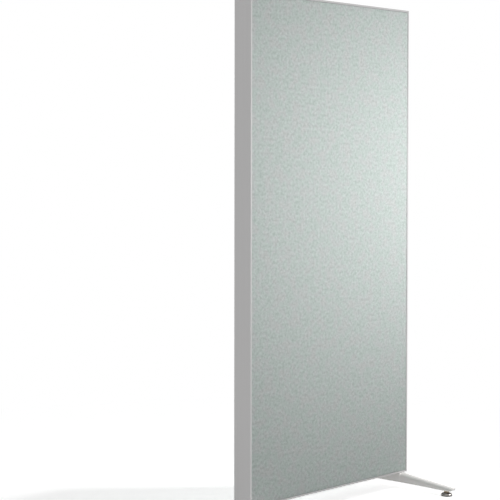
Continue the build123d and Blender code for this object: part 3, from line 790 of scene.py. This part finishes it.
def felted_batt(name, node, made):
    """An absorber batt: a soft slab with crushed edges and uneven faces."""
    low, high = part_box(node)
    play, cell = 0.3 * MM, 20 * MM
    # Near its edges the batt is crushed by up to this share of its thickness
    crush_share, crush_width = 0.22, 30 * MM
    # Its faces are lumpy and its edges ragged, in lumps this wide and this deep
    lump_width, lump_depth = 70 * MM, 0.9 * MM
    ragged_width, ragged_depth = 45 * MM, 1.2 * MM
    low, high = low + Vector((play,) * 3), high - Vector((play,) * 3)
    size, middle = high - low, (low + high) / 2
    slab = bmesh.new()
    bmesh.ops.create_cube(slab, size=1,
                          matrix=Matrix.Translation(middle) @ Matrix.Diagonal([*size, 1]))
    for axis, cuts in enumerate((round(size.x / cell), 2, round(size.z / cell))):
        way = Vector([float(i == axis) for i in range(3)])
        for i in range(1, cuts):
            bmesh.ops.bisect_plane(slab, geom=slab.verts[:] + slab.edges[:] + slab.faces[:],
                                   plane_co=low + size * (i / cuts), plane_no=way)
    for vertex in slab.verts:
        rest = vertex.co.copy()
        away = rest.y - middle.y
        edge = min(rest.x - low.x, high.x - rest.x, rest.z - low.z, high.z - rest.z)
        crush = crush_share * max(0.0, 1 - edge / crush_width) ** 2
        lumps = noise.noise(rest / lump_width) * 0.5 + 0.5
        depth = away * (1 - crush) - math.copysign(lump_depth * lumps, away)
        vertex.co.y = middle.y + (depth if abs(away) > play else 0)
        for i in (0, 2):
            if min(rest[i] - low[i], high[i] - rest[i]) < play:
                inwards = math.copysign(1, middle[i] - rest[i])
                ragged = noise.noise(rest / ragged_width) * 0.5 + 0.5
                vertex.co[i] += inwards * ragged_depth * ragged
    bmesh.ops.recalc_face_normals(slab, faces=slab.faces)
    mesh = bpy.data.meshes.new(name)
    slab.to_mesh(mesh)
    slab.free()
    mesh.materials.append(made)
    mesh.shade_smooth()
    mesh.set_sharp_from_angle(angle=SHARP_FELT)
    piece = bpy.data.objects.new(name, mesh)
    bpy.context.scene.collection.objects.link(piece)
    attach(piece, "screen")
    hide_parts(node)
    return piece


class MakeStage(bpy.types.Operator):
    """Make the floor, the even light, the lamps and the camera"""
    bl_idname = "divider.stage"
    bl_label = "Stage"

    def execute(self, context):
        scene, settings = context.scene, context.scene.divider_stage
        self.floor(settings)
        self.room(scene, settings)
        self.lamps(settings)
        self.camera(scene, settings)
        scene.view_settings.view_transform = "Standard"
        return {"FINISHED"}

    def seen(self, tree):
        """1 for what the camera sees, straight, mirrored or through glass."""
        path = add(tree, "ShaderNodeLightPath")
        mirrored = add(tree, "ShaderNodeMath", ((path, "Is Camera Ray"), (path, "Is Glossy Ray")),
                       operation="MAXIMUM")
        return add(tree, "ShaderNodeMath", (mirrored, (path, "Is Transmission Ray")),
                   operation="MAXIMUM")

    def floor(self, settings):
        """A plain pale floor: white to the eye, but for the screen's soft shadow near it."""
        made = bpy.data.materials.new("Pale floor")
        made.use_nodes = True
        tree = made.node_tree
        tree.nodes.clear()
        matt = add(tree, "ShaderNodeBsdfDiffuse", {"Color": [*settings.floor, 1.0]})
        white = add(tree, "ShaderNodeEmission", {"Color": WHITE, "Strength": 1.0})
        glow = add(tree, "ShaderNodeEmission", {"Color": WHITE,
                                                "Strength": 1 - settings.shade_share})
        # Near the screen, the glow and the light that falls on open floor add up to white
        lit = settings.fill + settings.distant * math.sin(settings.distant_height)
        dim = add(tree, "ShaderNodeBsdfDiffuse", {"Color": [settings.shade_share / lit] * 3 + [1]})
        near = add(tree, "ShaderNodeAddShader", (glow, dim))
        place = (add(tree, "ShaderNodeTexCoord"), "Object")
        away = add(tree, "ShaderNodeVectorMath", (place, settings.shade_centre),
                   operation="DISTANCE")
        fade = add(tree, "ShaderNodeMapRange",
                   {"Value": (away, "Value"), "From Min": settings.shade_near,
                    "From Max": settings.shade_far}, interpolation_type="SMOOTHSTEP")
        eye = add(tree, "ShaderNodeMixShader", (fade, near, white))
        both = add(tree, "ShaderNodeMixShader", (self.seen(tree), matt, eye))
        add(tree, "ShaderNodeOutputMaterial", {"Surface": both})
        mesh = bpy.data.meshes.new("Floor")
        side = settings.floor_side
        corners = [(-side, -side, 0), (side, -side, 0), (side, side, 0), (-side, side, 0)]
        mesh.from_pydata(corners, [], [(0, 1, 2, 3)])
        mesh.materials.append(made)
        plane = bpy.data.objects.new("Floor", mesh)
        bpy.context.scene.collection.objects.link(plane)

    def room(self, scene, settings):
        """White where the camera looks past the floor; an even light on everything else."""
        world = bpy.data.worlds.new("Room")
        scene.world = world
        world.use_nodes = True
        tree = world.node_tree
        tree.nodes.clear()
        light = add(tree, "ShaderNodeBackground", {"Color": WHITE, "Strength": settings.fill})
        white = add(tree, "ShaderNodeBackground", {"Color": WHITE, "Strength": 1.0})
        both = add(tree, "ShaderNodeMixShader", (self.seen(tree), light, white))
        add(tree, "ShaderNodeOutputWorld", {"Surface": both})

    def lamps(self, settings):
        """A wide soft lamp close in front, which lights the screen alone, a distant one high
        on the right, which draws the shadow on the floor, and one each for the back of the
        screen, for the feet and for the bright spots on the glides' domes."""
        soft = bpy.data.lights.new("Soft lamp", "AREA")
        soft.shape = "RECTANGLE"
        soft.size, soft.size_y = settings.soft_size
        soft.energy = settings.soft
        place = Vector(settings.soft_place)
        holder = self.hang(soft, place, Vector(settings.soft_aim) - place)
        holder.visible_glossy = False
        holder.visible_camera = False
        floor = [bpy.data.objects["Floor"]]
        self.keep_to(holder, floor, "EXCLUDE")
        self.sun("Distant lamp", settings.distant, settings.distant_bearing,
                 settings.distant_height, settings.distant_spread)
        holder = self.sun("Rear lamp", settings.rear, settings.rear_bearing, settings.rear_height,
                          settings.wide)
        self.keep_to(holder, floor, "EXCLUDE")
        holder = self.sun("Foot lamp", settings.foot, settings.foot_bearing, settings.foot_height,
                          settings.wide)
        self.keep_to(holder, [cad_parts[f"{hand}_foot"] for hand in HANDS], "INCLUDE")
        holder = self.sun("Glint lamp", settings.glint, settings.glint_bearing,
                          settings.glint_height, settings.wide)
        self.keep_to(holder, [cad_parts[f"{glide}_dome"] for glide in GLIDES], "INCLUDE")

    def sun(self, name, strength, bearing, height, spread):
        """A lamp whose light falls the same way everywhere; a strength of 1 makes a face
        that is turned to it as bright as its colour is written."""
        lamp = bpy.data.lights.new(name, "SUN")
        lamp.energy = strength * math.pi
        lamp.angle = spread
        towards = Vector((math.sin(bearing) * math.cos(height),
                          math.cos(bearing) * math.cos(height), math.sin(height)))
        return self.hang(lamp, towards * LAMP_AWAY, -towards)

    def keep_to(self, holder, objects, state):
        """Let a lamp light these objects alone, or all but these."""
        group = bpy.data.collections.new(f"{holder.name} {state.lower()}")
        for linked in objects:
            group.objects.link(linked)
        for linked in group.collection_objects:
            linked.light_linking.link_state = state
        holder.light_linking.receiver_collection = group

    def hang(self, lamp, place, way):
        """Put a lamp at a place, shining along a direction."""
        holder = bpy.data.objects.new(lamp.name, lamp)
        holder.location = place
        holder.rotation_euler = way.to_track_quat("-Z", "Y").to_euler()
        bpy.context.scene.collection.objects.link(holder)
        return holder

    def camera(self, scene, settings):
        """The photograph's view of the screen."""
        across = Vector((math.cos(settings.yaw), -math.sin(settings.yaw), 0))
        ahead = Vector((math.sin(settings.yaw) * math.cos(settings.pitch),
                        math.cos(settings.yaw) * math.cos(settings.pitch),
                        -math.sin(settings.pitch)))
        upright = across.cross(ahead)
        c, s = math.cos(settings.roll), math.sin(settings.roll)
        axes = Matrix((c * across + s * upright, c * upright - s * across, -ahead)).transposed()
        camera = bpy.data.cameras.new("Camera")
        camera.lens = settings.lens
        camera.sensor_width = FRAME_WIDTH
        camera.shift_y = settings.shift
        camera.clip_start, camera.clip_end = CAMERA_REACH
        eye = bpy.data.objects.new("Camera", camera)
        eye.matrix_world = Matrix.Translation(settings.place) @ axes.to_4x4()
        scene.collection.objects.link(eye)
        scene.camera = eye


class FinishFrame(bpy.types.Operator):
    """Give the aluminium frame, its brackets and the boards inside it their finishes"""
    bl_idname = "divider.frame_finish"
    bl_label = "Frame and Boards"

    def execute(self, context):
        metal, hidden = context.scene.divider_metal, context.scene.divider_hidden
        upright = drawn_aluminium("Anodised aluminium upright", metal.anodised, "Z")
        # Painted shade: a rail gets a darker copy of the upright's colour, since its die lines lie
        # along the light that comes from the side, so it looks darker
        rail_painted_shade = 0.92
        rail = drawn_aluminium("Anodised aluminium rail", scaled(metal.anodised, rail_painted_shade), "X")
        for hand in HANDS:
            finish(f"{hand}_upright", upright)
        for height in ("top", "bottom"):
            finish(f"{height}_rail", rail)
        # Die-cast aluminium, left as cast: dull, with a fine pebbled skin
        cast = grained("As-cast aluminium", metal.bracket, 0.8 * MM, 0.5, 0.08, 0.05 * MM, 0.05,
                       {"Metallic": 1.0})
        for height in ("top", "bottom"):
            for hand in HANDS:
                finish(f"{height}_{hand}_bracket", cast)
        # Raw hardboard, pressed from wood fibre: matt brown with fine fibres
        board = grained("Hardboard", hidden.board, 1.5 * MM, 0.8, 0.05, 0.05 * MM, 0.08)
        finish("centre_board", board)
        # Pressed polyester felt: matt, with matted fibres 3 mm wide
        felt = grained("Pressed felt", hidden.felt, 3 * MM, 0.92, 0.04, 0.3 * MM, 0.1)
        for face, _ in FACES:
            finish(f"{face}_face_board", felt)
        return {"FINISHED"}


class MakeCovers(bpy.types.Operator):
    """Draw the wool covers over the face boards"""
    bl_idname = "divider.covers"
    bl_label = "Cloth Covers"

    def execute(self, context):
        settings = context.scene.divider_cloth
        tree, made = cover_tree(settings), wool_cloth(settings)
        for face, facing in FACES:
            drawn_cover(f"{face}_cover", f"{face}_fabric_cover", facing,
                        tree, made, settings)
        return {"FINISHED"}


class MakeBatts(bpy.types.Operator):
    """Make the absorber batts"""
    bl_idname = "divider.batts"
    bl_label = "Absorber Batts"

    def execute(self, context):
        # Thermally bonded polyester: matt white fibre in tufts 6 mm wide
        made = grained("Polyester batt", context.scene.divider_hidden.batt, 6 * MM, 0.95, 0.03,
                       1.2 * MM, 0.1, {"Sheen Weight": 0.2})
        for face, _ in FACES:
            felted_batt(f"{face}_batt", f"{face}_absorber", made)
        return {"FINISHED"}


class MakeFasteners(bpy.types.Operator):
    """Make the set screws, the face board clips, the foot bolts and their washers"""
    bl_idname = "divider.fasteners"
    bl_label = "Screws, Clips and Bolts"

    def execute(self, context):
        metal, hidden = context.scene.divider_metal, context.scene.divider_hidden
        # Zinc-plated steel: bright, slightly blue, with a soft plated skin
        zinc = grained("Zinc-plated steel", metal.zinc, 0.6 * MM, 0.3, 0.06, 0.02 * MM, 0.06,
                       {"Metallic": 1.0})
        # Moulded polyamide: waxy, off-white
        nylon = grained("Moulded nylon", hidden.nylon, 1.2 * MM, 0.45, 0.05, 0.02 * MM, 0.03,
                        {"Subsurface Weight": 0.1})
        low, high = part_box("centre_board")
        middle = (low + high) / 2
        # A set screw's tip bears on the frame's outer wall, and its socket faces the middle
        places = []
        for low, high in solid_boxes("bracket_set_screws"):
            centre, size = (low + high) / 2, high - low
            i = max(range(3), key=lambda n: size[n])
            inwards = 1 if centre[i] < middle[i] else -1
            axis = Vector([inwards * float(n == i) for n in range(3)])
            places.append((centre - axis * size[i] / 2, axis))
        self.group("set_screws", screw_tree(), places, zinc, "bracket_set_screws", "zinc_steel",
                   pitch=metal.screw_pitch)
        clips = clip_tree()
        for face, facing in FACES:
            places = []
            for low, high in solid_boxes(f"{face}_panel_clips"):
                centre = (low + high) / 2
                places.append((Vector((centre.x, 0, centre.z)), Vector((0, facing, 0))))
            self.group(f"{face}_clips", clips, places, nylon, f"{face}_panel_clips", "clip_nylon")
        # A bolt's place is the middle of its washer's underside
        places = [(Vector(((low.x + high.x) / 2, (low.y + high.y) / 2, low.z)), UP)
                  for low, high in solid_boxes("foot_bolt_washers")]
        self.group("spring_washers", washer_tree(), places, zinc, "foot_bolt_washers", "zinc_steel")
        self.group("socket_bolts", bolt_tree(), places, zinc, "foot_bolts", "zinc_steel",
                   pitch=metal.bolt_pitch)
        return {"FINISHED"}

    def group(self, name, tree, places, made, node, slot, **inputs):
        """Make a group of like pieces in place of a node of the screen."""
        piece = grow(name, tree, places, made, **inputs)
        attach(piece, "screen")
        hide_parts(node)


class FinishFeet(bpy.types.Operator):
    """Give the two cast feet their finish"""
    bl_idname = "divider.feet"
    bl_label = "Cast Feet"

    def execute(self, context):
        metal = context.scene.divider_metal
        # Die-cast aluminium, polished to a satin: even, softly shining, with the finest grain
        cast = grained("Satin cast aluminium", metal.cast, 1.4 * MM, 0.42, 0.05, 0.02 * MM, 0.02,
                       {"Metallic": 0.4})
        for hand in HANDS:
            finish(f"{hand}_foot", cast)
        return {"FINISHED"}


class MakeGlides(bpy.types.Operator):
    """Make the threaded stems and give the domes and soles their finishes"""
    bl_idname = "divider.glides"
    bl_label = "Levelling Glides"

    def execute(self, context):
        metal, hidden = context.scene.divider_metal, context.scene.divider_hidden
        # Pressed steel, nickel plated: a mirror with faint rings from the press. Its colour is
        # darker than the plating's own, as painted shade for the darker surroundings that the dome
        # reflects
        plate_and_shade = grained("Nickel-plated steel", metal.plate_and_shade, 5 * MM, 0.14, 0.03, 0.01 * MM, 0.02,
                        {"Metallic": 1.0})
        # Turned steel, yellow passivated: warm, with fine marks of the tool
        steel = grained("Passivated steel", metal.steel, 0.8 * MM, 0.3, 0.05, 0.02 * MM, 0.05,
                        {"Metallic": 1.0})
        # Moulded polyamide: black and dull
        sole = grained("Sole nylon", hidden.sole, 0.8 * MM, 0.55, 0.05, 0.03 * MM, 0.1)
        tree = stem_tree()
        for glide in GLIDES:
            finish(f"{glide}_dome", plate_and_shade)
            finish(f"{glide}_sole", sole)
            low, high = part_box(f"{glide}_stem")
            foot = Vector(((low.x + high.x) / 2, (low.y + high.y) / 2, low.z))
            piece = grow(f"{glide}_threaded_stem", tree, [(foot, UP)], steel,
                         pitch=metal.stem_pitch, length=high.z - low.z)
            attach(piece, f"{glide}_screw")
            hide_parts(f"{glide}_stem")
        return {"FINISHED"}


class DividerPanel(bpy.types.Panel):
    """The pieces of the screen and the settings of each"""
    bl_idname = "VIEW3D_PT_divider_screen"
    bl_label = "Divider Screen"
    bl_space_type = "VIEW_3D"
    bl_region_type = "UI"
    bl_category = "Divider Screen"

    def draw(self, context):
        scene = context.scene
        for title, settings, operators in (
                ("Cloth", scene.divider_cloth, (MakeCovers,)),
                ("Inside", scene.divider_hidden, (MakeBatts, MakeFasteners)),
                ("Metal", scene.divider_metal, (FinishFrame, FinishFeet, MakeGlides)),
                ("Stage", scene.divider_stage, (MakeStage,))):
            box = self.layout.box()
            box.label(text=title)
            for key in settings.bl_rna.properties.keys():
                if key not in ("rna_type", "name"):
                    box.prop(settings, key)
            for operator in operators:
                box.operator(operator.bl_idname)


SETTINGS = {"divider_cloth": DividerCloth, "divider_metal": DividerMetal,
            "divider_hidden": DividerHidden, "divider_stage": DividerStage}
STEPS = (MakeStage, FinishFrame, MakeCovers, MakeBatts, MakeFasteners, FinishFeet, MakeGlides)


def register():
    for group in SETTINGS.values():
        bpy.utils.register_class(group)
    for name, group in SETTINGS.items():
        setattr(bpy.types.Scene, name, PointerProperty(type=group))
    for operator in STEPS:
        bpy.utils.register_class(operator)
    bpy.utils.register_class(DividerPanel)


def unregister():
    bpy.utils.unregister_class(DividerPanel)
    for operator in reversed(STEPS):
        bpy.utils.unregister_class(operator)
    for name, group in SETTINGS.items():
        delattr(bpy.types.Scene, name)
        bpy.utils.unregister_class(group)


def main():
    register()
    for operator in STEPS:
        getattr(bpy.ops.divider, operator.bl_idname.split(".")[1])()


if __name__ == "__main__":
    main()
